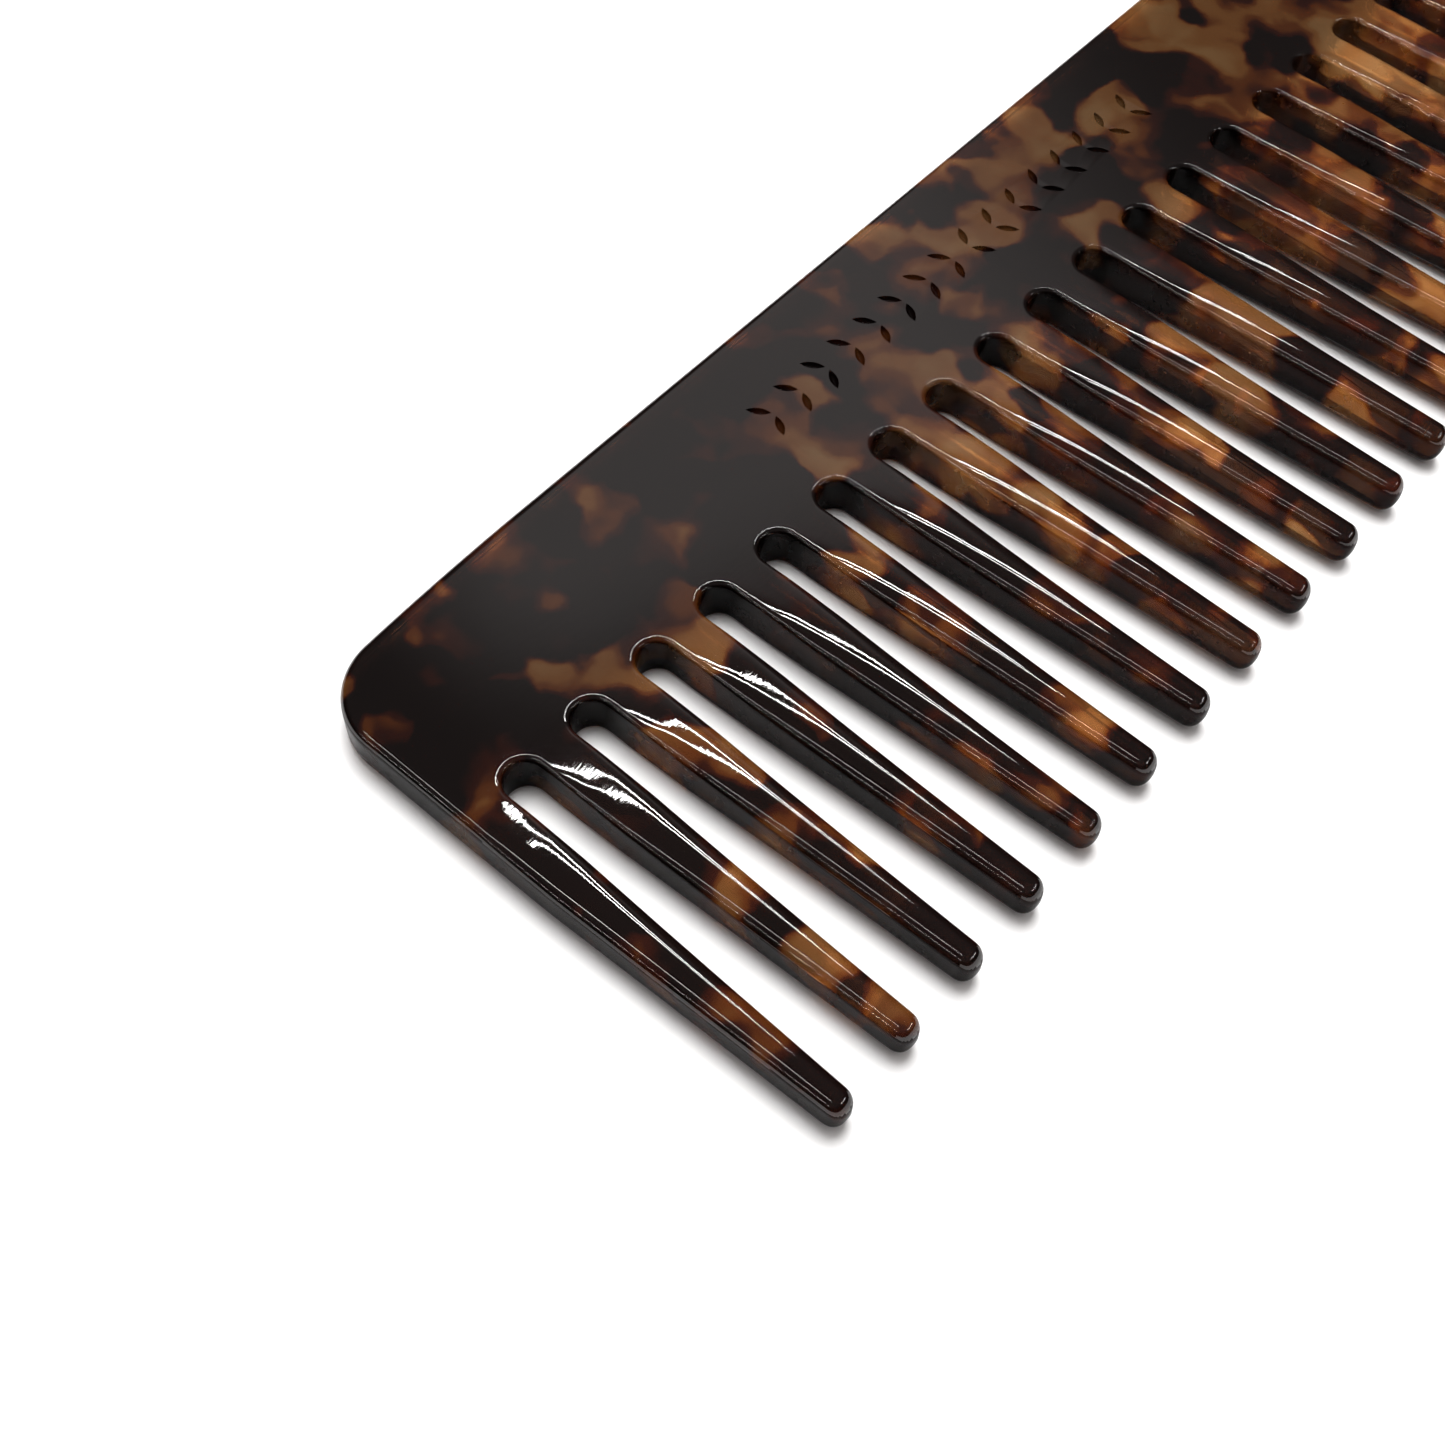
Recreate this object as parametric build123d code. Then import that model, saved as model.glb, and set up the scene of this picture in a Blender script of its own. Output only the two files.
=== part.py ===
"""Wide-tooth hair comb, cut and polished from one plate of cellulose acetate.

Frame: X along the comb, +Y towards the smooth back edge, teeth towards -Y,
+Z up. The origin is under the middle of the comb, on the plane it lies on.
The plate is one piece of material. Its teeth and its spine are separate nodes
that meet face to face on the root line, so that every gap stays open.
"""
from build123d import *
import math
import os

# ---- driving dimensions, mm -------------------------------------------------
PITCH = 7.5                # from one gap to the next
GAPS = 19                  # gaps, so there are GAPS + 1 teeth
THICKNESS = 4.2            # polished plate
TOOTH_LENGTH = 35.1        # root line to tooth tip
SPINE_WIDTH = 19.0         # root line to back edge, at mid length
END_MARGIN = 5.85          # centre of the outermost gap to the comb's end

GAP_RADIUS = 1.75          # round root of each gap, at the wall
EDGE_RADIUS = 1.0          # rounding of the outer edge
GAP_EDGE = 0.4             # rounding where a gap's wall meets the faces

STRAIGHT = 8.2             # length over which a gap's walls stay parallel
TIP_HALF_WIDTH = 1.2       # tooth at its tip, half of its width
TIP_HALF_THICKNESS = 1.85  # tooth at its tip, half of its thickness
TIP_EDGE = 1.15            # rounding of the tooth's long edges at the tip
TIP_CAP = 1.1              # rounding of the tooth's end

CORNER_RADIUS = 6.8        # back corners
BACK_DROP = 0.55           # how far the back edge eases down towards a corner
BACK_EASE = 19.0           # length of that easing

ORNAMENT_LENGTH = 62.0     # band of engraved leaves along the spine
ORNAMENT_PAIRS = 16        # pairs of leaves in the band
ORNAMENT_LINE = 9.8        # from the root line to the middle of the band
LEAF_LENGTH = 2.3
LEAF_WIDTH = 0.75
LEAF_LEAN = 58             # degrees from the band's direction
LEAF_DEPTH = 0.3

# ---- worked out from them ---------------------------------------------------
WIDTH = TOOTH_LENGTH + SPINE_WIDTH
ROOT_Y = TOOTH_LENGTH - WIDTH / 2
BACK_Y = WIDTH / 2
MID_Z = THICKNESS / 2
HALF_RUN = PITCH * (GAPS - 1) / 2
END_X = HALF_RUN + END_MARGIN
ROOT_HALF_WIDTH = PITCH / 2 - GAP_RADIUS
GAP_CENTRES = [-HALF_RUN + PITCH * i for i in range(GAPS)]


def spine_outline():
    """Plan of the spine: root line, ends, round corners and eased back edge."""
    ease_angle = 2 * math.atan(BACK_DROP / BACK_EASE)
    turn = math.pi / 2 - ease_angle
    corner_y = BACK_Y - BACK_DROP - CORNER_RADIUS * math.cos(ease_angle)
    corner_x = END_X - CORNER_RADIUS
    ease_end = Vector(
        corner_x + CORNER_RADIUS * math.sin(ease_angle),
        corner_y + CORNER_RADIUS * math.cos(ease_angle),
    )
    ease_start = Vector(ease_end.X - BACK_EASE, BACK_Y)
    corner_mid = Vector(
        corner_x + CORNER_RADIUS * math.sin(ease_angle + turn / 2),
        corner_y + CORNER_RADIUS * math.cos(ease_angle + turn / 2),
    )
    ease_radius = BACK_EASE / math.sin(ease_angle)
    ease_mid = Vector(
        ease_start.X + ease_radius * math.sin(ease_angle / 2),
        BACK_Y - ease_radius * (1 - math.cos(ease_angle / 2)),
    )
    corner_end = Vector(END_X, corner_y)

    def flip(point):
        return Vector(-point.X, point.Y)

    edges = [
        Line((-END_X, ROOT_Y), (END_X, ROOT_Y)),
        Line((END_X, ROOT_Y), corner_end),
        ThreePointArc(corner_end, corner_mid, ease_end),
        ThreePointArc(ease_end, ease_mid, ease_start),
        Line(ease_start, flip(ease_start)),
        ThreePointArc(flip(ease_start), flip(ease_mid), flip(ease_end)),
        ThreePointArc(flip(ease_end), flip(corner_mid), flip(corner_end)),
        Line(flip(corner_end), (-END_X, ROOT_Y)),
    ]
    return make_face(edges)


def rounded_edges(solid):
    """The spine's top and bottom edges: those in a gap, then those outside."""
    in_gap = []
    outside = []
    for edge in solid.edges():
        box = edge.bounding_box()
        flat = box.size.Z < 0.01
        on_root_line = box.size.Y < 0.01 and abs(box.min.Y - ROOT_Y) < 0.01
        if not flat or on_root_line:
            continue
        near_root = box.max.Y < ROOT_Y + GAP_RADIUS + 0.01
        if near_root and abs(edge.center().X) < HALF_RUN + GAP_RADIUS + 0.01:
            in_gap.append(edge)
        else:
            outside.append(edge)
    return in_gap, outside


def leaf(x, side):
    """One engraved leaf: a pointed lens, leaning away from the band's middle."""
    half = LEAF_LENGTH / 2
    bulge = LEAF_WIDTH / 2
    plan = make_face([
        ThreePointArc((-half, 0), (0, bulge), (half, 0)),
        ThreePointArc((half, 0), (0, -bulge), (-half, 0)),
    ])
    away = 1 if x > 0 else -1
    lean = LEAF_LEAN if side * away > 0 else -LEAF_LEAN
    cutter = extrude(plan, LEAF_DEPTH + 1)
    y = ROOT_Y + ORNAMENT_LINE + side * (half * math.sin(math.radians(LEAF_LEAN)) + 0.25)
    return Pos(x, y, THICKNESS - LEAF_DEPTH) * Rot(0, 0, lean) * cutter


def make_spine():
    plan = spine_outline()
    for x in GAP_CENTRES:
        plan -= Pos(x, ROOT_Y) * Circle(GAP_RADIUS)
    solid = extrude(plan, THICKNESS)
    in_gap, outside = rounded_edges(solid)
    solid = fillet(in_gap, GAP_EDGE)
    in_gap, outside = rounded_edges(solid)
    outside = [edge for edge in outside if edge.length > 1]
    solid = fillet(outside, EDGE_RADIUS)
    step = ORNAMENT_LENGTH / (ORNAMENT_PAIRS + 1)
    first = -ORNAMENT_LENGTH / 2 + step
    for i in range(ORNAMENT_PAIRS):
        for side in (1, -1):
            solid -= leaf(first + i * step, side)
    return solid


def corner_arc(cx, cz, radius, start):
    points = []
    for turn in (0, 45, 90):
        angle = math.radians(start + turn)
        points.append((cx + radius * math.cos(angle), cz + radius * math.sin(angle)))
    return ThreePointArc(*points)


def tooth_section(y, left, right, half_thickness, left_edge, right_edge):
    """Cross-section of a tooth at y: a rectangle with its four edges rounded."""
    top = MID_Z + half_thickness
    bottom = MID_Z - half_thickness
    edges = [
        corner_arc(right - right_edge, top - right_edge, right_edge, 0),
        Line((right - right_edge, top), (left + left_edge, top)),
        corner_arc(left + left_edge, top - left_edge, left_edge, 90),
        Line((left, top - left_edge), (left, bottom + left_edge)),
        corner_arc(left + left_edge, bottom + left_edge, left_edge, 180),
        Line((left + left_edge, bottom), (right - right_edge, bottom)),
        corner_arc(right - right_edge, bottom + right_edge, right_edge, 270),
        Line((right, bottom + right_edge), (right, top - right_edge)),
    ]
    plane = Plane(origin=(0, y, 0), x_dir=(1, 0, 0), z_dir=(0, -1, 0))
    return plane * make_face(edges)


def make_tooth(root_left, root_right, left_edge, right_edge):
    """A tooth between two gap walls, tapering to a rounded tip."""
    centre = (root_left + root_right) / 2
    straight_y = ROOT_Y - STRAIGHT
    tip_y = ROOT_Y - TOOTH_LENGTH
    straight = [
        tooth_section(ROOT_Y, root_left, root_right, MID_Z, left_edge, right_edge),
        tooth_section(straight_y, root_left, root_right, MID_Z, left_edge, right_edge),
    ]
    taper = [
        straight[1],
        tooth_section(
            tip_y,
            centre - TIP_HALF_WIDTH,
            centre + TIP_HALF_WIDTH,
            TIP_HALF_THICKNESS,
            TIP_EDGE,
            TIP_EDGE,
        ),
    ]
    blade = loft(straight, ruled=True) + loft(taper, ruled=True)
    end = blade.faces().sort_by(Axis.Y)[0]
    return fillet(end.edges(), TIP_CAP)


def main():
    os.makedirs("parts", exist_ok=True)
    export_step(make_spine(), "parts/spine.step")
    inner = make_tooth(-ROOT_HALF_WIDTH, ROOT_HALF_WIDTH, GAP_EDGE, GAP_EDGE)
    for i in range(1, GAPS):
        x = GAP_CENTRES[i] - PITCH / 2
        export_step(Pos(x, 0, 0) * inner, f"parts/tooth_{i + 1:02d}.step")
    inner_wall = HALF_RUN + GAP_RADIUS
    left = make_tooth(-END_X, -inner_wall, EDGE_RADIUS, GAP_EDGE)
    right = make_tooth(inner_wall, END_X, GAP_EDGE, EDGE_RADIUS)
    export_step(left, "parts/end_tooth_left.step")
    export_step(right, "parts/end_tooth_right.step")


main()
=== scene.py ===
"""Wide-tooth tortoiseshell comb lying on a white table, in soft studio light.

The comb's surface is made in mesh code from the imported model's own sizes, as
one closed skin, and is then cut into one piece for each CAD node. The pieces
meet edge to edge with nothing between them, because the real comb is one
plate, and a wall inside it would show through the translucent material.
Lengths are in millimetres until a piece is made, and then in metres.
"""

import math

import bpy
import numpy as np
from mathutils import Matrix, Vector
from mathutils.geometry import delaunay_2d_cdt


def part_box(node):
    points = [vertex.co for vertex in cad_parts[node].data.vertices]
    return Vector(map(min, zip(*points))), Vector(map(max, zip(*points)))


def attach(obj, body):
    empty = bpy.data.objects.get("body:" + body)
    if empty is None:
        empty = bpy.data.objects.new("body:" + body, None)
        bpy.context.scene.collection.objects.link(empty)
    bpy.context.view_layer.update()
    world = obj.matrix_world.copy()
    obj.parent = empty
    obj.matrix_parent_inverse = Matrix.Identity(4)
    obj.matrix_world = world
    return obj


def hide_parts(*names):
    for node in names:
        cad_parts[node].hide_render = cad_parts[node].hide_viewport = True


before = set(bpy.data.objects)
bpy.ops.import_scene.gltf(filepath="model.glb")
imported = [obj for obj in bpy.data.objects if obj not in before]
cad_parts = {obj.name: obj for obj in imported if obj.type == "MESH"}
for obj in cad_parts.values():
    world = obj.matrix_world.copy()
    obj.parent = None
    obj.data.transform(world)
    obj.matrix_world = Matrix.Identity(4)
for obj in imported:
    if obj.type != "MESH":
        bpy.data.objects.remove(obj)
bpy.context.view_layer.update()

MM = 0.001

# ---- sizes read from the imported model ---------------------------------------
INNER_TEETH = sorted(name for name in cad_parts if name.startswith("tooth_"))
TEETH = ["end_tooth_left"] + INNER_TEETH + ["end_tooth_right"]


def node_box(name):
    low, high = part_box(name)
    return low / MM, high / MM


SPINE_LOW, SPINE_HIGH = node_box("spine")
FIRST_LOW, FIRST_HIGH = node_box(TEETH[1])
SECOND_LOW, SECOND_HIGH = node_box(TEETH[2])
END_X = SPINE_HIGH.x
BACK_Y = SPINE_HIGH.y
ROOT_Y = FIRST_HIGH.y
TIP_Y = FIRST_LOW.y
MID_Z = SPINE_HIGH.z / 2
PITCH = SECOND_LOW.x - FIRST_LOW.x
ROOT_HALF_WIDTH = (FIRST_HIGH.x - FIRST_LOW.x) / 2
GAP_RADIUS = PITCH / 2 - ROOT_HALF_WIDTH
TOOTH_LENGTH = ROOT_Y - TIP_Y
GAP_CENTRES = [FIRST_LOW.x - GAP_RADIUS + PITCH * i for i in range(len(TEETH) - 1)]

# ---- shape, mm --------------------------------------------------------------
GAP_RIM = 0.52             # rounding at a gap's root
RIM_SQUARENESS = 2.7       # superellipse exponent of the rounded edges
OUTER_RIM = 1.3            # rounding of the outer edge, across
OUTER_RIM_HEIGHT = 1.1     # and down
STRAIGHT = 8.2             # length over which a gap's walls stay parallel
TIP_HALF_WIDTH = 1.2
TIP_HALF_THICKNESS = 1.85
TIP_RIM_HEIGHT = 1.1       # rounding of a tooth's long edges at the tip, down
RIM_GROWTH = 8.0           # length over which that rounding grows from the root's
TIP_SQUARENESS = 2.2       # superellipse exponent of a tooth's crest at its tip
ROOT_SQUARENESS = 8.7      # and at the root, where the crest is nearly flat
OUTER_SQUARENESS = 3.2     # and on the comb's outer edge
SQUARENESS_FALL = 6.5      # length over which the crest grows round
ROOT_BLEND = 3.0           # length over which a root's flat crest turns into it
TIP_CAP = 1.35             # length of a tooth's round end
CAP_SQUARENESS = 2.3       # superellipse exponent of that end
THIN_START = 4.5           # where a tooth starts to get thinner
CREST_AT_TIP = 0.35        # half width of a crest's middle at the tip, of the tooth's own
CREST_FALL = 1.2           # how much sooner than the tip it gets there
CORNER_RADIUS = 6.8
BACK_DROP = 0.55
BACK_EASE = 19.0

ORNAMENT_LENGTH = 62.0     # band of engraved leaves along the spine
ORNAMENT_PAIRS = 16
ORNAMENT_LINE = 9.8        # from the root line to the middle of the band
LEAF_LENGTH = 2.3
LEAF_WIDTH = 0.75
LEAF_LEAN = 58
LEAF_DEPTH = 0.3
LEAF_GAP = 0.25            # from the band's middle line to a leaf
LEAF_STEPS = 10

RIM_STEPS = 12             # facets round one edge
CREST_POINTS = 5           # points across a tooth's crest, between its edges
ARC_STEPS = 20             # columns round a gap's root
TOOTH_STEPS = 56
CAP_STEPS = 9
END_STEPS = 6              # columns along an end, a back corner and the back edge's parts
CORNER_STEPS = 24
BACK_STEPS = 12
CDT_TOLERANCE = 1e-6

# ---- the skin ---------------------------------------------------------------
points = []
faces = []                 # (owner, vertex indices)
engraved = set()           # which of them are cut into the top face


def smooth(t):
    t = min(max(t, 0.0), 1.0)
    return t * t * (3 - 2 * t)


def add_point(x, y, z):
    points.append((x, y, z))
    return len(points) - 1


def column(x, y, out_x, out_y, rim, rim_height, half):
    """Points from the top face, over the edge, down the wall, to the bottom face."""
    made = []
    for side in (1, -1):
        steps = range(RIM_STEPS + 1)
        for step in steps if side > 0 else reversed(steps):
            angle = step / RIM_STEPS * math.pi / 2
            inset = rim * (1 - math.sin(angle) ** (2 / RIM_SQUARENESS))
            z = half - rim_height * (1 - math.cos(angle) ** (2 / RIM_SQUARENESS))
            made.append(add_point(x - out_x * inset, y - out_y * inset, MID_Z + side * z))
    return made


def bridge(owner, first, second):
    """Quads between two rows of points of the same length."""
    for a, b, c, d in zip(first, second, second[1:], first[1:]):
        faces.append((owner, (a, b, c, d)))


# walls round the root of each gap, from its left side to its right side
gap_columns = []
for centre in GAP_CENTRES:
    arc = []
    for step in range(ARC_STEPS + 1):
        angle = math.pi * (1 - step / ARC_STEPS)
        dx, dy = math.cos(angle), math.sin(angle)
        arc.append(column(
            centre + GAP_RADIUS * dx, ROOT_Y + GAP_RADIUS * dy, -dx, -dy,
            GAP_RIM, GAP_RIM, MID_Z,
        ))
    for first, second in zip(arc, arc[1:]):
        bridge("spine", second, first)
    gap_columns.append(arc)


def outer_path():
    """(x, y, outward x, outward y) from the right end's root line to the left's."""
    ease_angle = 2 * math.atan(BACK_DROP / BACK_EASE)
    corner_x = END_X - CORNER_RADIUS
    corner_y = BACK_Y - BACK_DROP - CORNER_RADIUS * math.cos(ease_angle)
    half = [(END_X, ROOT_Y, 1.0, 0.0)]
    for step in range(1, END_STEPS):
        half.append((END_X, ROOT_Y + (corner_y - ROOT_Y) * step / END_STEPS, 1.0, 0.0))
    turn = math.pi / 2 - ease_angle
    for step in range(CORNER_STEPS + 1):
        angle = turn * step / CORNER_STEPS
        out_x, out_y = math.cos(angle), math.sin(angle)
        x, y = corner_x + CORNER_RADIUS * out_x, corner_y + CORNER_RADIUS * out_y
        half.append((x, y, out_x, out_y))
    ease_radius = BACK_EASE / math.sin(ease_angle)
    ease_x = corner_x + CORNER_RADIUS * math.sin(ease_angle) - BACK_EASE
    for step in range(1, BACK_STEPS + 1):
        angle = ease_angle * (1 - step / BACK_STEPS)
        x = ease_x + ease_radius * math.sin(angle)
        y = BACK_Y - ease_radius * (1 - math.cos(angle))
        half.append((x, y, math.sin(angle), math.cos(angle)))
    for step in range(1, BACK_STEPS + 1):
        half.append((ease_x * (1 - step / BACK_STEPS), BACK_Y, 0.0, 1.0))
    mirrored = [(-x, y, -out_x, out_y) for x, y, out_x, out_y in reversed(half[:-1])]
    return half + mirrored


outer_columns = [
    column(x, y, out_x, out_y, OUTER_RIM, OUTER_RIM_HEIGHT, MID_Z)
    for x, y, out_x, out_y in outer_path()
]
for first, second in zip(outer_columns, outer_columns[1:]):
    bridge("spine", second, first)


class ToothSide:
    """One long wall of a tooth: where it is, and how its edge is rounded."""

    def __init__(self, root_x, middle, outer):
        self.sign = 1 if root_x > middle else -1
        self.middle = middle
        self.root_half = abs(root_x - middle)
        self.rim = OUTER_RIM if outer else GAP_RIM
        self.rim_height = OUTER_RIM_HEIGHT if outer else GAP_RIM
        self.squareness = OUTER_SQUARENESS if outer else ROOT_SQUARENESS

    def half_width(self, along):
        taper = max(along - STRAIGHT, 0.0) / (TOOTH_LENGTH - STRAIGHT)
        return self.root_half + (TIP_HALF_WIDTH - self.root_half) * taper

    def crest(self, along):
        """Half width of the middle of the crest, between the two rounded edges."""
        root = self.root_half - self.rim
        tip = TIP_HALF_WIDTH * CREST_AT_TIP
        return root + (tip - root) * smooth(along / TOOTH_LENGTH * CREST_FALL)

    def profile(self, along, share):
        """How far a crest point is out from the middle, and down from the top.

        share is 0 in the middle, 1 where the rounded edge starts, and 2 at the wall.
        The first point is a rounded slab's, as at the root, and the second a
        superellipse's, as along the tooth. ROOT_BLEND turns one into the other.
        """
        width, crest = self.half_width(along), self.crest(along)
        sharpness = (self.squareness - TIP_SQUARENESS) * math.exp(-along / SQUARENESS_FALL)
        power = TIP_SQUARENESS + sharpness
        growth = 1 - math.exp(-along / RIM_GROWTH)
        fall = self.rim_height + (TIP_RIM_HEIGHT - self.rim_height) * growth
        if share <= 1:
            offset = crest * share
            drop = fall * (1 - (1 - (offset / width) ** power) ** (1 / power))
            flat_offset, flat_drop = offset, 0.0
        else:
            turn = (share - 1) * math.pi / 2
            start = math.asin((crest / width) ** (power / 2))
            angle = start + (math.pi / 2 - start) * (share - 1)
            offset = width * math.sin(angle) ** (2 / power)
            drop = fall * (1 - max(math.cos(angle), 0.0) ** (2 / power))
            flat_offset = crest + (width - crest) * math.sin(turn) ** (2 / RIM_SQUARENESS)
            flat_drop = fall * (1 - max(math.cos(turn), 0.0) ** (2 / RIM_SQUARENESS))
        blend = smooth(along / ROOT_BLEND)
        return (
            flat_offset + (offset - flat_offset) * blend,
            flat_drop + (drop - flat_drop) * blend,
        )


def section(y, left, right, cap):
    """One closed loop of points round a tooth. cap is 1 along it, and falls to 0 at its end."""
    along = ROOT_Y - y
    thin = max(along - THIN_START, 0.0) / (TOOTH_LENGTH - THIN_START)
    half = MID_Z + (TIP_HALF_THICKNESS - MID_Z) * thin

    def place(side, share, side_z):
        offset, drop = side.profile(along, share)
        x = left.middle + side.sign * offset * cap
        return add_point(x, y, MID_Z + side_z * (half - drop) * cap)

    def wall(side, order):
        made = []
        for side_z in (1, -1):
            steps = range(RIM_STEPS + 1)
            for step in steps if side_z > 0 else reversed(steps):
                made.append(place(side, 1 + step / RIM_STEPS, side_z))
        return made[::order]

    def crest(side_z, order):
        made = []
        for i in range(CREST_POINTS):
            share = (i + 1) / (CREST_POINTS + 1) * 2 - 1
            made.append(place(left if share < 0 else right, abs(share), side_z))
        return made[::order]

    return wall(left, 1) + crest(-1, 1) + wall(right, -1) + crest(1, -1)


def make_tooth(owner, left, right, left_column, right_column):
    """A tube of sections from the root line to a round tip.

    Returns its new points on the root line, above and below, for the spine to use.
    """
    root_top, root_bottom = [], []
    for i in range(CREST_POINTS):
        share = (i + 1) / (CREST_POINTS + 1)
        for row, end in ((root_top, 0), (root_bottom, -1)):
            a, b = points[left_column[end]], points[right_column[end]]
            row.append(add_point(a[0] + (b[0] - a[0]) * share, ROOT_Y, a[2]))
    loops = [left_column + root_bottom + right_column[::-1] + root_top[::-1]]
    cap_y = TIP_Y + TIP_CAP
    for step in range(1, TOOTH_STEPS + 1):
        loops.append(section(ROOT_Y + (cap_y - ROOT_Y) * step / TOOTH_STEPS, left, right, 1.0))
    for step in range(1, CAP_STEPS):
        angle = step / CAP_STEPS * math.pi / 2
        reach = math.sin(angle)
        cap = (1 - reach ** CAP_SQUARENESS) ** (1 / CAP_SQUARENESS)
        loops.append(section(cap_y - TIP_CAP * reach, left, right, cap))
    for first, second in zip(loops, loops[1:]):
        bridge(owner, second + second[:1], first + first[:1])
    pole = add_point(left.middle, TIP_Y, MID_Z)
    last = loops[-1]
    for a, b in zip(last, last[1:] + last[:1]):
        faces.append((owner, (a, b, pole)))
    return root_top, root_bottom


root_tops, root_bottoms = [], []
for index, owner in enumerate(TEETH):
    first, last = index == 0, index == len(TEETH) - 1
    left_column = outer_columns[-1] if first else gap_columns[index - 1][-1]
    right_column = outer_columns[0] if last else gap_columns[index][0]
    left_x = -END_X if first else GAP_CENTRES[index - 1] + GAP_RADIUS
    right_x = END_X if last else GAP_CENTRES[index] - GAP_RADIUS
    middle = (left_x + right_x) / 2
    left = ToothSide(left_x, middle, first)
    right = ToothSide(right_x, middle, last)
    top, bottom = make_tooth(owner, left, right, left_column, right_column)
    root_tops.append(top)
    root_bottoms.append(bottom)


def spine_border(place, crests):
    """The closed line round one face of the spine, anticlockwise from above."""
    line = []
    for index, crest in enumerate(crests):
        line += crest
        if index < len(gap_columns):
            line += [c[place] for c in gap_columns[index]]
    line += [c[place] for c in outer_columns]
    return line


def leaf_place(x, side):
    """Middle of one engraved leaf, and the direction it points in."""
    away = 1 if x > 0 else -1
    lean = math.radians(LEAF_LEAN if side * away > 0 else -LEAF_LEAN)
    rise = LEAF_LENGTH / 2 * math.sin(math.radians(LEAF_LEAN)) + LEAF_GAP
    middle = Vector((x, ROOT_Y + ORNAMENT_LINE + side * rise))
    return middle, Vector((math.cos(lean), math.sin(lean)))


def leaf_ring(centre, axis, length_share, width_share, depth):
    """One ring of a leaf: a tip, the points of one side, the other tip, the other side."""
    across = Vector((-axis.y, axis.x))
    ring = []
    for side in (1, -1):
        for step in range(LEAF_STEPS):
            t = step / LEAF_STEPS * 2 - 1
            along = side * t * LEAF_LENGTH / 2 * length_share
            bulge = -side * LEAF_WIDTH / 2 * (1 - t * t) * width_share
            spot = centre + axis * along + across * bulge
            ring.append(add_point(spot.x, spot.y, 2 * MID_Z - depth))
    return ring


def engrave(x, side):
    """A leaf cut into the top face. Returns its outline."""
    start = len(faces)
    centre, axis = leaf_place(x, side)
    rings = [
        leaf_ring(centre, axis, 1.0, 1.0, 0.0),
        leaf_ring(centre, axis, 0.965, 0.9, LEAF_DEPTH * 0.12),
        leaf_ring(centre, axis, 0.9, 0.7, LEAF_DEPTH * 0.55),
        leaf_ring(centre, axis, 0.82, 0.4, LEAF_DEPTH * 0.88),
    ]
    for outer, inner in zip(rings, rings[1:]):
        bridge("spine", inner + inner[:1], outer + outer[:1])
    floor_line = []
    for step in range(1, LEAF_STEPS):
        spot = centre + axis * ((step / LEAF_STEPS * 2 - 1) * LEAF_LENGTH / 2 * 0.75)
        floor_line.append(add_point(spot.x, spot.y, 2 * MID_Z - LEAF_DEPTH))
    last = rings[-1]
    near_tip, far_tip = last[0], last[LEAF_STEPS]
    one, other = last[1:LEAF_STEPS], last[LEAF_STEPS + 1:][::-1]
    bridge("spine", floor_line, one)
    bridge("spine", other, floor_line)
    faces.append(("spine", (near_tip, one[0], floor_line[0])))
    faces.append(("spine", (near_tip, floor_line[0], other[0])))
    faces.append(("spine", (one[-1], far_tip, floor_line[-1])))
    faces.append(("spine", (floor_line[-1], far_tip, other[-1])))
    engraved.update(corners for _, corners in faces[start:])
    return rings[0]


def fill(border, holes, upward):
    """Triangles over a flat face with holes in it."""
    loops = [border] + holes
    index = [i for loop in loops for i in loop]
    edges, start = [], 0
    for loop in loops:
        edges += [(start + i, start + (i + 1) % len(loop)) for i in range(len(loop))]
        start += len(loop)
    flat = [Vector(points[i][:2]) for i in index]
    made, _, triangles, originals, _, _ = delaunay_2d_cdt(flat, edges, [], 1, CDT_TOLERANCE)
    in_hole = [set(hole) for hole in holes]
    for triangle in triangles:
        corners = [index[originals[v][0]] for v in triangle]
        if any(all(c in hole for c in corners) for hole in in_hole):
            continue
        a, b, c = (points[i] for i in corners)
        turn = (b[0] - a[0]) * (c[1] - a[1]) - (b[1] - a[1]) * (c[0] - a[0])
        if (turn > 0) != upward:
            corners.reverse()
        faces.append(("spine", tuple(corners)))


leaves = []
for i in range(ORNAMENT_PAIRS):
    leaf_x = -ORNAMENT_LENGTH / 2 + (i + 1) * ORNAMENT_LENGTH / (ORNAMENT_PAIRS + 1)
    for side in (1, -1):
        leaves.append(engrave(leaf_x, side))
fill(spine_border(0, root_tops), leaves, True)
fill(spine_border(-1, root_bottoms), [], False)

# ---- material ---------------------------------------------------------------
CLOUD_OFFSET = (146.4, 416.3, 20.7)   # where in the noise the comb lies, mm
CLOUD_SCALE = (-1.1, -1.1, 1.25)
WANDER = 5.0               # how far the clouds' borders are bent, mm
FRAY = 0.9                 # and roughened
CLOUD_SHARE = 0.62         # soft noise against angular flakes
MORE_AMBER_PER_MM = 0.0005 # towards the right end
MORE_AMBER_INSIDE = 0.02   # in the spine
# painted shade laid over the middle of the spine
SPINE_PAINTED_SHADE = 0.45
RIPPLE_HEIGHT = 0.001      # unevenness left by hand polishing, mm
WAVE_HEIGHT = 0.005
GRAIN_HEIGHT = 0.0002
CLEARNESS = 0.75           # share of the light that passes through


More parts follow.
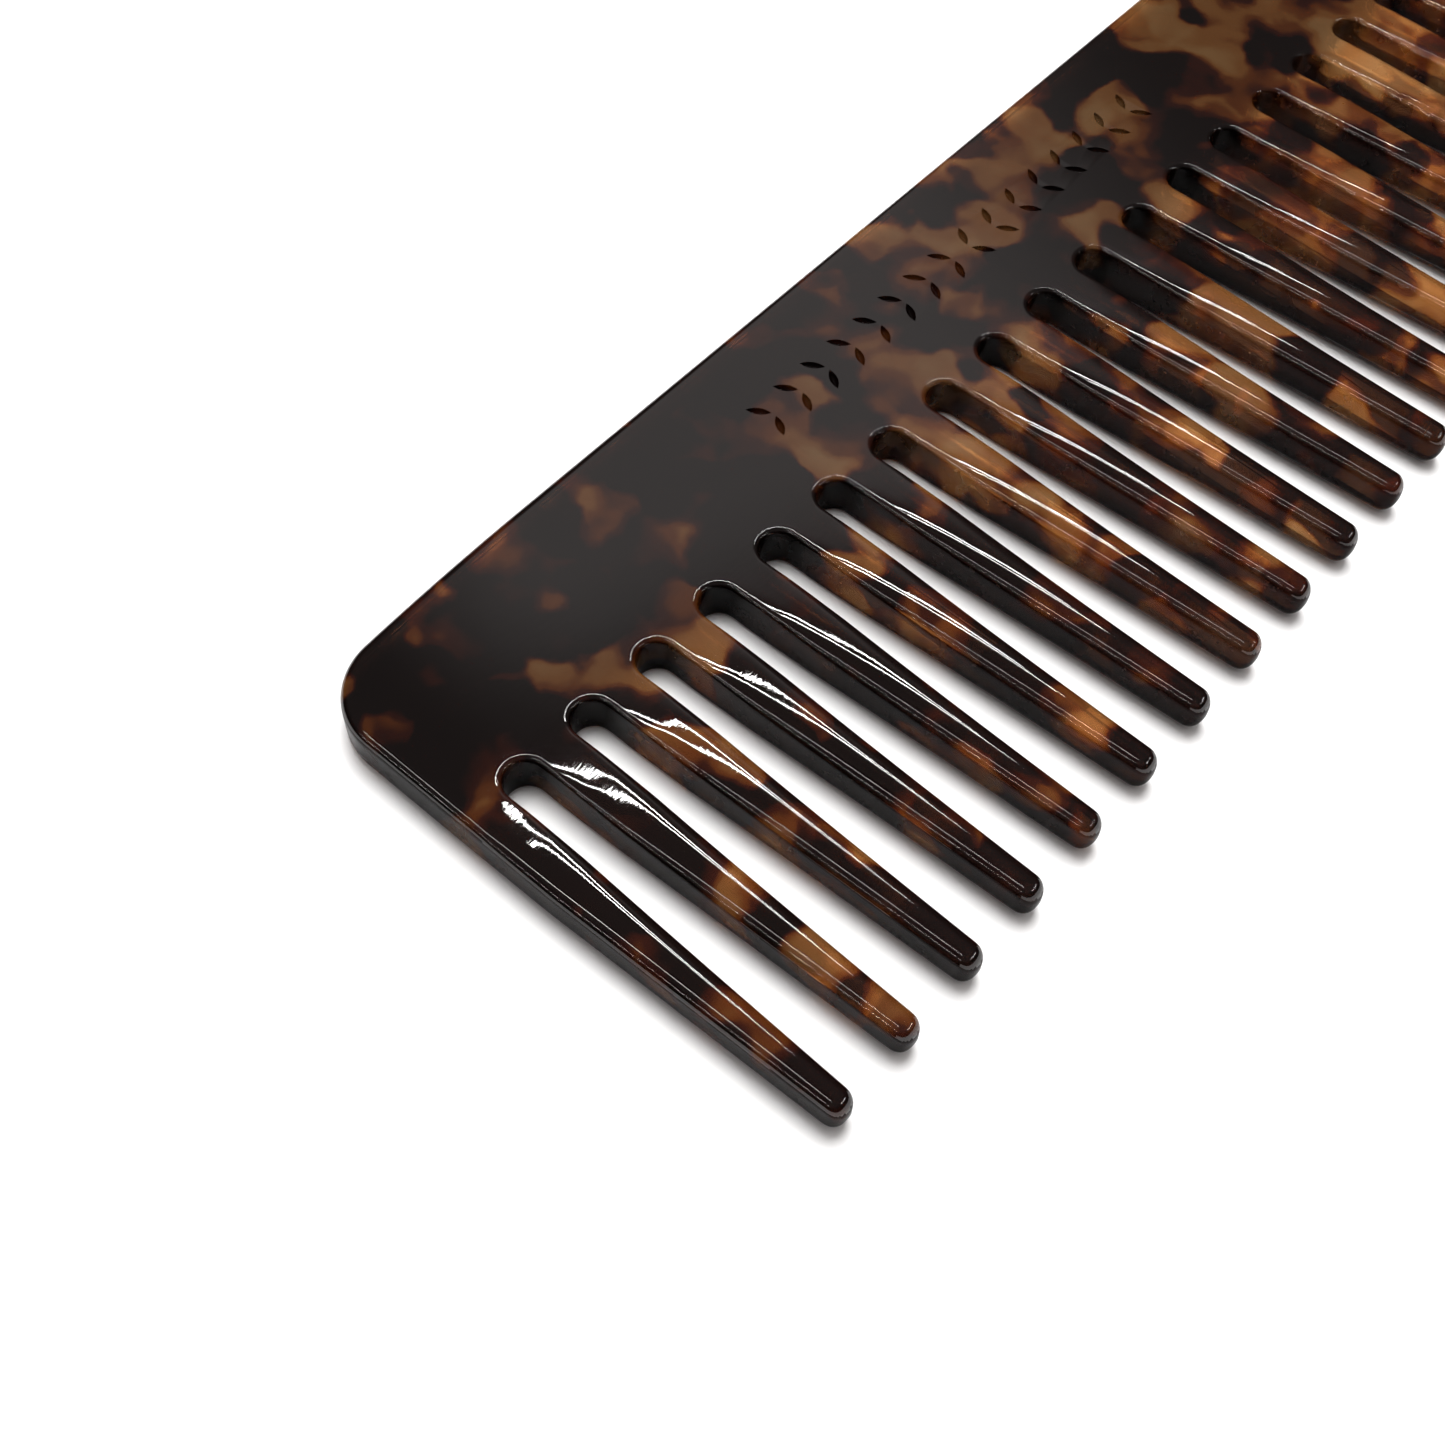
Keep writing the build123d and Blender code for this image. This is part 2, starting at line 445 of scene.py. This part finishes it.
class Nodes:
    """Short calls for adding and linking shader nodes."""

    def __init__(self, tree):
        self.tree = tree
        tree.nodes.clear()

    def add(self, kind, **settings):
        node = self.tree.nodes.new(kind)
        for name, value in settings.items():
            setattr(node, name, value)
        return node

    def link(self, source, target):
        self.tree.links.new(source, target)

    def math(self, operation, a, b):
        node = self.add("ShaderNodeMath", operation=operation)
        for value, socket in zip((a, b), node.inputs):
            if isinstance(value, (int, float)):
                socket.default_value = value
            else:
                self.link(value, socket)
        return node.outputs[0]

    def noise(self, vector, scale, detail=2.0, roughness=0.5):
        node = self.add("ShaderNodeTexNoise")
        node.inputs["Scale"].default_value = scale
        node.inputs["Detail"].default_value = detail
        node.inputs["Roughness"].default_value = roughness
        self.link(vector, node.inputs["Vector"])
        return node

    def place(self, vector, location=(0, 0, 0), scale=(1, 1, 1)):
        node = self.add("ShaderNodeMapping")
        node.inputs["Location"].default_value = location
        node.inputs["Scale"].default_value = scale
        self.link(vector, node.inputs["Vector"])
        return node.outputs[0]

    def step(self, value, start, end):
        """0 at start, 1 at end, smooth between; end may be the lower of the two."""
        node = self.add("ShaderNodeMapRange", interpolation_type="SMOOTHSTEP")
        node.inputs["From Min"].default_value = start
        node.inputs["From Max"].default_value = end
        self.link(value, node.inputs["Value"])
        return node.outputs[0]

    def ramp(self, value, *stops):
        node = self.add("ShaderNodeValToRGB")
        node.color_ramp.interpolation = "EASE"
        elements = node.color_ramp.elements
        while len(elements) < len(stops):
            elements.new(0.5)
        for element, (place, colour) in zip(elements, stops):
            element.position = place
            element.color = (*colour, 1)
        self.link(value, node.inputs[0])
        return node.outputs[0]


def tortoiseshell(name, ior, rough_from, rough_to, strength):
    """Acetate with amber clouds between near-black ones. strength scales its colours; below 1 it is
    painted shade.
    """
    material = bpy.data.materials.new(name)
    material.use_nodes = True
    n = Nodes(material.node_tree)
    where = n.add("ShaderNodeTexCoord").outputs["Object"]
    millimetres = n.place(where, scale=(1000, 1000, 1000))
    cloud_space = n.place(millimetres, location=CLOUD_OFFSET, scale=CLOUD_SCALE)

    def shifted(space, by, amount):
        node = n.add("ShaderNodeVectorMath", operation="MULTIPLY_ADD")
        n.link(by.outputs["Color"], node.inputs[0])
        node.inputs[1].default_value = (amount, amount, amount)
        n.link(space, node.inputs[2])
        return node.outputs[0]

    wandering = shifted(cloud_space, n.noise(cloud_space, 0.16, detail=1.0), WANDER)
    frayed = shifted(wandering, n.noise(cloud_space, 0.6, detail=1.5), FRAY)
    clouds = n.noise(frayed, 0.15, detail=1.2, roughness=0.45)
    flakes = n.add("ShaderNodeTexVoronoi", feature="SMOOTH_F1")
    flakes.inputs["Scale"].default_value = 0.2
    flakes.inputs["Smoothness"].default_value = 0.5
    n.link(frayed, flakes.inputs["Vector"])
    flake = n.add("ShaderNodeSeparateColor")
    n.link(flakes.outputs["Color"], flake.inputs[0])
    mixed = n.math(
        "ADD",
        n.math("MULTIPLY", clouds.outputs["Fac"], CLOUD_SHARE),
        n.math("MULTIPLY", flake.outputs[0], 1 - CLOUD_SHARE),
    )

    parts = n.add("ShaderNodeSeparateXYZ")
    n.link(millimetres, parts.inputs[0])
    above_teeth = n.step(parts.outputs[1], ROOT_Y - 3, ROOT_Y + 3)
    below_edge = n.step(parts.outputs[1], BACK_Y, BACK_Y - 3.5)
    inside = n.math("MULTIPLY", above_teeth, below_edge)
    mixed = n.math("ADD", mixed, n.math("MULTIPLY", parts.outputs[0], MORE_AMBER_PER_MM))
    mixed = n.math("ADD", mixed, n.math("MULTIPLY", inside, MORE_AMBER_INSIDE))

    stops = [
        (0.0, (0.007, 0.003, 0.0025)),
        (0.46, (0.012, 0.004, 0.003)),
        (0.525, (0.07, 0.012, 0.005)),
        (0.58, (0.23, 0.060, 0.011)),
        (0.65, (0.40, 0.155, 0.040)),
        (0.80, (0.50, 0.250, 0.090)),
    ]
    tint = n.ramp(mixed, *[(at, tuple(c * strength for c in colour)) for at, colour in stops])

    # painted shade: the middle of the broad spine is darkened, as less light reaches it than a tooth
    # or the edge
    darker = n.math("SUBTRACT", 1.0, n.math("MULTIPLY", inside, SPINE_PAINTED_SHADE))
    shade = n.add("ShaderNodeVectorMath", operation="SCALE")
    n.link(tint, shade.inputs[0])
    n.link(darker, shade.inputs["Scale"])
    tint = shade.outputs[0]

    ripple_space = n.place(millimetres, scale=(0.5, 2.6, 0.5))
    ripple = n.noise(ripple_space, 1.0, detail=2.0, roughness=0.6)
    wave = n.noise(millimetres, 0.16, detail=1.0)
    grain = n.noise(millimetres, 7.0, detail=1.0)
    height = n.math("MULTIPLY", ripple.outputs["Fac"], RIPPLE_HEIGHT)
    height = n.math("ADD", height, n.math("MULTIPLY", wave.outputs["Fac"], WAVE_HEIGHT))
    height = n.math("ADD", height, n.math("MULTIPLY", grain.outputs["Fac"], GRAIN_HEIGHT))
    bump = n.add("ShaderNodeBump")
    bump.inputs["Strength"].default_value = 1.0
    bump.inputs["Distance"].default_value = MM
    n.link(height, bump.inputs["Height"])

    smear = n.noise(millimetres, 0.35, detail=4.0, roughness=0.6)
    rough = n.add("ShaderNodeMapRange")
    rough.inputs["From Min"].default_value = 0.3
    rough.inputs["From Max"].default_value = 0.7
    rough.inputs["To Min"].default_value = rough_from
    rough.inputs["To Max"].default_value = rough_to
    n.link(smear.outputs["Fac"], rough.inputs["Value"])

    surface = n.add("ShaderNodeBsdfPrincipled")
    surface.inputs["IOR"].default_value = ior
    surface.inputs["Transmission Weight"].default_value = CLEARNESS
    n.link(tint, surface.inputs["Base Color"])
    n.link(rough.outputs[0], surface.inputs["Roughness"])
    n.link(bump.outputs[0], surface.inputs["Normal"])
    output = n.add("ShaderNodeOutputMaterial")
    n.link(surface.outputs[0], output.inputs["Surface"])
    return material


# ---- one piece for each CAD node --------------------------------------------
co = np.array(points)
normals = np.zeros_like(co)
for _, corners in faces:
    for i in range(1, len(corners) - 1):
        a, b, c = corners[0], corners[i], corners[i + 1]
        across = np.cross(co[b] - co[a], co[c] - co[a])
        normals[[a, b, c]] += across
normals /= np.maximum(np.linalg.norm(normals, axis=1), 1e-12)[:, None]

polished = tortoiseshell("tortoiseshell_polished", 1.49, 0.010, 0.03, 1.0)
# the dull copy is the same acetate, rougher and less reflective, with its colours scaled to 0.55 as
# painted shade on the upright walls and in the engraved leaves
dull_shaded = tortoiseshell("tortoiseshell_dull_painted_shade", 1.12, 0.2, 0.3, 0.55)
WALL_SLOPE = 0.3           # upright share of a normal below which a face is a wall, given the dull copy with painted shade


def is_dull_shaded(corners):
    a, b, c = co[list(corners[:3])]
    across = np.cross(b - a, c - a)
    return corners in engraved or bool(abs(across[2]) < WALL_SLOPE * np.linalg.norm(across))


for node in ["spine"] + TEETH:
    mine = [corners for owner, corners in faces if owner == node]
    used = sorted({i for corners in mine for i in corners})
    local = {i: k for k, i in enumerate(used)}
    mesh = bpy.data.meshes.new(node + "_skin")
    mesh.from_pydata((co[used] * MM).tolist(), [], [[local[i] for i in corners] for corners in mine])
    mesh.shade_smooth()
    mesh.normals_split_custom_set_from_vertices(normals[used].tolist())
    mesh.materials.append(polished)
    mesh.materials.append(dull_shaded)
    for polygon, corners in zip(mesh.polygons, mine):
        polygon.material_index = int(is_dull_shaded(corners))
    piece = bpy.data.objects.new(node + "_skin", mesh)
    bpy.context.scene.collection.objects.link(piece)
    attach(piece, "root")
    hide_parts(node)

# ---- table, light and camera ------------------------------------------------


def make_table():
    size = 1.6
    top = -0.05 * MM        # just clear of the comb's flat underside
    mesh = bpy.data.meshes.new("table")
    corners = [(-size, -size, top), (size, -size, top), (size, size, top), (-size, size, top)]
    mesh.from_pydata(corners, [], [(0, 1, 2, 3)])
    table = bpy.data.objects.new("table", mesh)
    bpy.context.scene.collection.objects.link(table)
    material = bpy.data.materials.new("table_white")
    material.use_nodes = True
    n = Nodes(material.node_tree)
    where = n.add("ShaderNodeTexCoord").outputs["Object"]
    mottle = n.noise(where, 40.0, detail=3.0)
    colour = n.ramp(mottle.outputs["Fac"], (0.0, (0.86, 0.86, 0.86)), (1.0, (0.90, 0.90, 0.90)))
    surface = n.add("ShaderNodeBsdfPrincipled")
    surface.inputs["Roughness"].default_value = 0.7
    surface.inputs["Specular IOR Level"].default_value = 0.2
    n.link(colour, surface.inputs["Base Color"])
    output = n.add("ShaderNodeOutputMaterial")
    n.link(surface.outputs[0], output.inputs["Surface"])
    mesh.materials.append(material)


def make_sky():
    """A dome that is brightest at the back right, and is plain and pale to the camera.

    Gloss meets a dim room with one soft window instead. The numbers are parts of
    directions from the comb. Light from under the horizon reaches only the underside.
    """
    world = bpy.data.worlds.new("studio")
    bpy.context.scene.world = world
    world.use_nodes = True
    n = Nodes(world.node_tree)
    parts = n.add("ShaderNodeSeparateXYZ")
    n.link(n.add("ShaderNodeTexCoord").outputs["Generated"], parts.inputs[0])
    x, y, z = parts.outputs

    sill = n.math("ADD", y, n.math("MULTIPLY", x, 0.545))
    window = n.math("MULTIPLY", n.step(sill, 0.575, 0.675), n.step(x, 0.31, 0.41))
    window = n.math("MULTIPLY", window, n.step(x, 0.73, 0.58))
    window = n.math("MULTIPLY", window, n.step(y, 0.75, 0.60))
    room = n.math("ADD", n.math("MULTIPLY", n.step(z, 0.40, 0.75), 0.12), 0.05)
    seen = n.math("ADD", room, n.math("MULTIPLY", window, 0.70))
    side = n.math("ADD", n.math("MULTIPLY", x, 0.50), n.math("MULTIPLY", y, 0.40))
    side = n.math("ADD", side, n.math("MULTIPLY", z, 0.77))
    dome = n.math("ADD", n.math("MULTIPLY", n.step(side, 0.10, 0.80), 0.92), 0.10)
    below = n.step(z, 0.0, -0.1)
    dome = n.math("ADD", dome, n.math("MULTIPLY", below, 0.70))
    seen = n.math("ADD", seen, n.math("MULTIPLY", below, 0.30))
    ray = n.add("ShaderNodeLightPath")

    def choose(flag, otherwise, value):
        node = n.add("ShaderNodeMix", data_type="FLOAT")
        n.link(flag, node.inputs[0])
        n.link(otherwise, node.inputs[2])
        if isinstance(value, float):
            node.inputs[3].default_value = value
        else:
            n.link(value, node.inputs[3])
        return node.outputs[0]

    strength = choose(ray.outputs["Is Glossy Ray"], dome, seen)
    strength = choose(ray.outputs["Is Camera Ray"], strength, 0.95)
    background = n.add("ShaderNodeBackground")
    background.inputs["Color"].default_value = (1.0, 0.95, 0.935, 1)
    n.link(strength, background.inputs["Strength"])
    output = n.add("ShaderNodeOutputWorld")
    n.link(background.outputs[0], output.inputs["Surface"])


def strip_light(name, start, end, thickness, radiance, distance=4.0):
    """A long thin lamp seen only as a reflection, between two directions from the comb.

    thickness is in degrees, as seen from the comb, and distance in metres.
    """
    a, b = Vector(start).normalized() * distance, Vector(end).normalized() * distance
    middle = (a + b) / 2
    length = (b - a).length
    width = distance * math.radians(thickness)
    lamp = bpy.data.lights.new(name, "AREA")
    lamp.shape = "RECTANGLE"
    lamp.size = length
    lamp.size_y = width
    lamp.energy = radiance * math.pi * length * width
    body = bpy.data.objects.new(name, lamp)
    along = (b - a).normalized()
    back = middle.normalized()
    across = back.cross(along).normalized()
    back = along.cross(across)
    turned = Matrix((along, across, back)).transposed().to_4x4()
    body.matrix_world = Matrix.Translation(middle) @ turned
    bpy.context.scene.collection.objects.link(body)
    body.visible_diffuse = False
    body.visible_transmission = False


def fill_light():
    """A broad lamp overhead that whitens the table and isn't seen in the gloss."""
    lamp = bpy.data.lights.new("fill", "AREA")
    lamp.shape = "DISK"
    lamp.size = 1.0
    lamp.energy = 33.0
    body = bpy.data.objects.new("fill", lamp)
    body.location = (0.36, 0.30, 1.5)
    body.rotation_mode = "QUATERNION"
    body.rotation_quaternion = body.location.to_track_quat("Z", "Y")
    bpy.context.scene.collection.objects.link(body)
    body.visible_glossy = False
    body.visible_transmission = False


def make_camera():
    lens = bpy.data.cameras.new("camera")
    lens.sensor_width = 36.0
    lens.lens = 48.395
    lens.clip_start = 0.01
    lens.clip_end = 20.0
    camera = bpy.data.objects.new("camera", lens)
    place = Vector((-0.11678, -0.05157, 0.13097))
    aim = Vector((-0.05357, 0.00025, 0.0042))
    look = (aim - place).to_track_quat("-Z", "Y").to_matrix().to_4x4()
    roll = Matrix.Rotation(math.radians(2.232), 4, "Z")
    camera.matrix_world = Matrix.Translation(place) @ look @ roll
    bpy.context.scene.collection.objects.link(camera)
    bpy.context.scene.camera = camera


make_table()
make_sky()
strip_light("tube_a", (0.302, 0.402, 0.864), (0.592, 0.222, 0.775), 0.35, 75.0)
strip_light("tube_b", (0.288, 0.380, 0.879), (0.578, 0.200, 0.791), 0.35, 75.0)
strip_light("left_high", (-0.20, 0.52, 0.83), (-0.38, 0.02, 0.92), 1.2, 30.0)
strip_light("left_low", (-0.78, -0.05, 0.50), (-0.72, 0.62, 0.50), 0.4, 60.0)
strip_light("front_low", (0.05, -0.80, 0.52), (0.62, -0.62, 0.50), 1.0, 60.0)
fill_light()
make_camera()
bpy.context.scene.view_settings.view_transform = "Standard"
